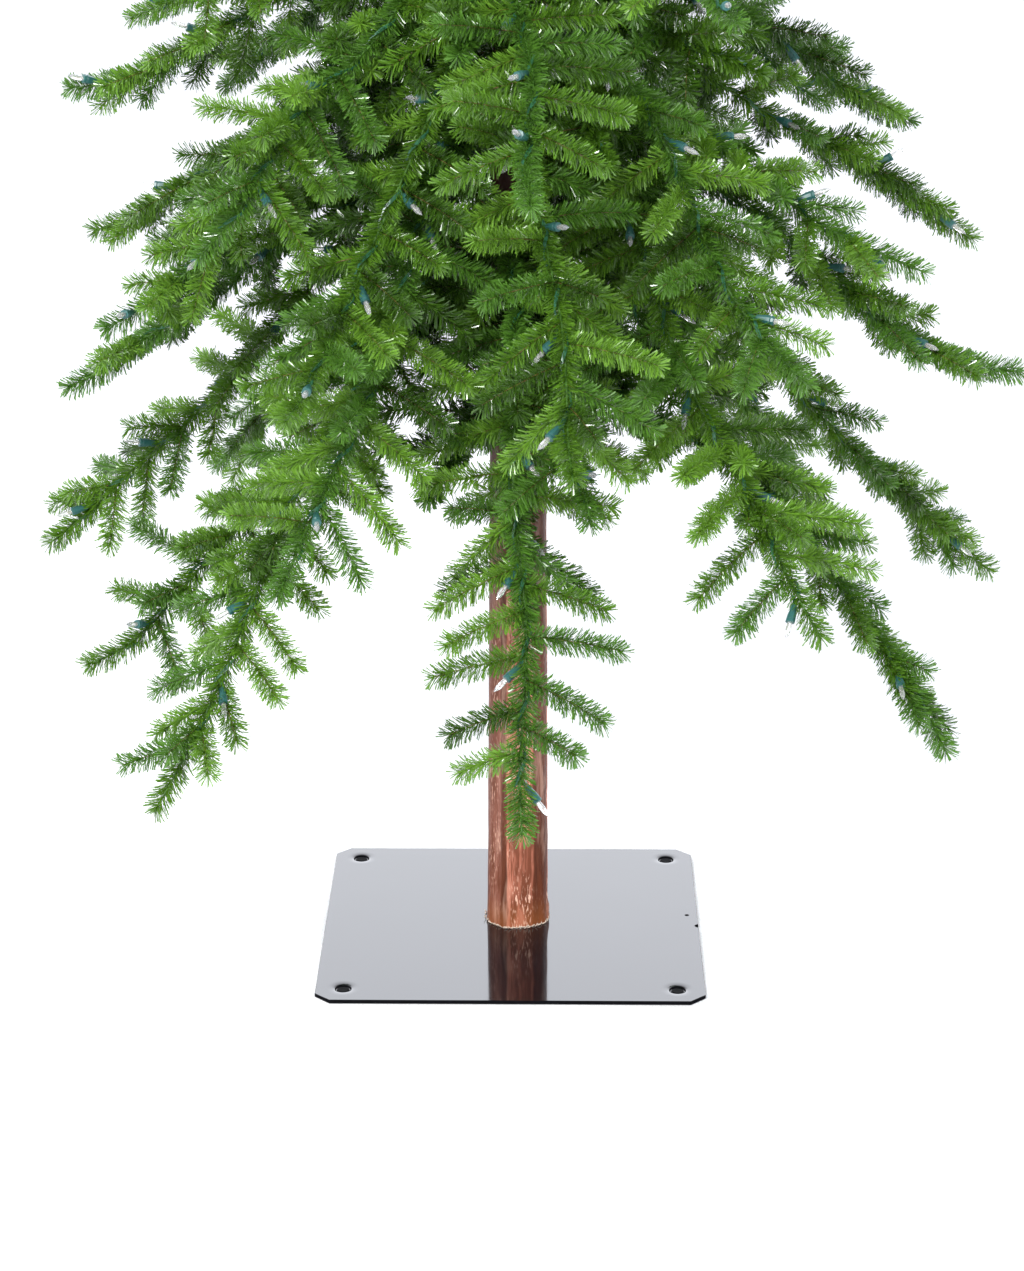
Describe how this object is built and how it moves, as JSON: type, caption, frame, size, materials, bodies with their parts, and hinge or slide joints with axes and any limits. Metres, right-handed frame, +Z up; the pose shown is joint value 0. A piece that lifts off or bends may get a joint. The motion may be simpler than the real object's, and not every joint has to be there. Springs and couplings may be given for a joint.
{
  "type": "artificial christmas tree",
  "caption": "Pre-lit artificial alpine Christmas tree: a bare cedar pole on a square steel base plate, with drooping wire boughs of green needle foliage and clear mini lights",
  "frame": {"origin": "centre of the underside of the base plate, where the tree stands on the floor", "axes": "+Z up along the trunk, -Y towards the front of the tree, +X to its right seen from the front"},
  "size_m": [0.8769, 0.8591, 1.83],
  "materials": {
    "base_plate": "black gloss baked enamel on steel plate",
    "trunk": "stripped and stained cedar pole, matt, fluted along its length",
    "bough_wire": "steel wire wrapped in dark green PVC tape",
    "needles": "cut PVC film needles, slightly glossy yellowish green",
    "light_wire": "dark green PVC insulated lamp wire, twisted in pairs",
    "light_socket": "moulded blue-green lamp sockets",
    "light_bulb": "clear glass mini bulbs with a small filament"
  },
  "bodies": {
    "root": {"base_plate": "base_plate", "leader_foliage": "needles", "low_bough_1": "bough_wire", "low_bough_2": "bough_wire", "low_bough_3": "bough_wire", "low_bough_4": "bough_wire", "low_bough_5": "bough_wire", "low_bough_6": "bough_wire", "low_bough_7": "bough_wire", "low_bough_8": "bough_wire", "low_bough_9": "bough_wire", "low_bough_10": "bough_wire", "low_bough_11": "bough_wire", "low_bough_12": "bough_wire", "low_bough_13": "bough_wire", "low_foliage_1": "needles", "low_foliage_2": "needles", "low_foliage_3": "needles", "low_foliage_4": "needles", "low_foliage_5": "needles", "low_foliage_6": "needles", "low_foliage_7": "needles", "low_foliage_8": "needles", "low_foliage_9": "needles", "low_foliage_10": "needles", "low_foliage_11": "needles", "low_foliage_12": "needles", "low_foliage_13": "needles", "middle_foliage_1": "needles", "middle_foliage_2": "needles", "middle_foliage_3": "needles", "middle_foliage_4": "needles", "middle_foliage_5": "needles", "middle_foliage_6": "needles", "middle_foliage_7": "needles", "middle_foliage_8": "needles", "middle_foliage_9": "needles", "middle_foliage_10": "needles", "middle_foliage_11": "needles", "middle_foliage_12": "needles", "middle_foliage_13": "needles", "middle_foliage_14": "needles", "middle_foliage_15": "needles", "middle_foliage_16": "needles", "trunk": "trunk", "upper_foliage_1": "needles", "upper_foliage_2": "needles", "upper_foliage_3": "needles", "upper_foliage_4": "needles", "upper_foliage_5": "needles", "upper_foliage_6": "needles", "upper_foliage_7": "needles", "upper_foliage_8": "needles", "upper_foliage_9": "needles", "upper_foliage_10": "needles", "upper_foliage_11": "needles", "upper_foliage_12": "needles", "upper_foliage_13": "needles", "upper_foliage_14": "needles"}
  },
  "joints": []
}
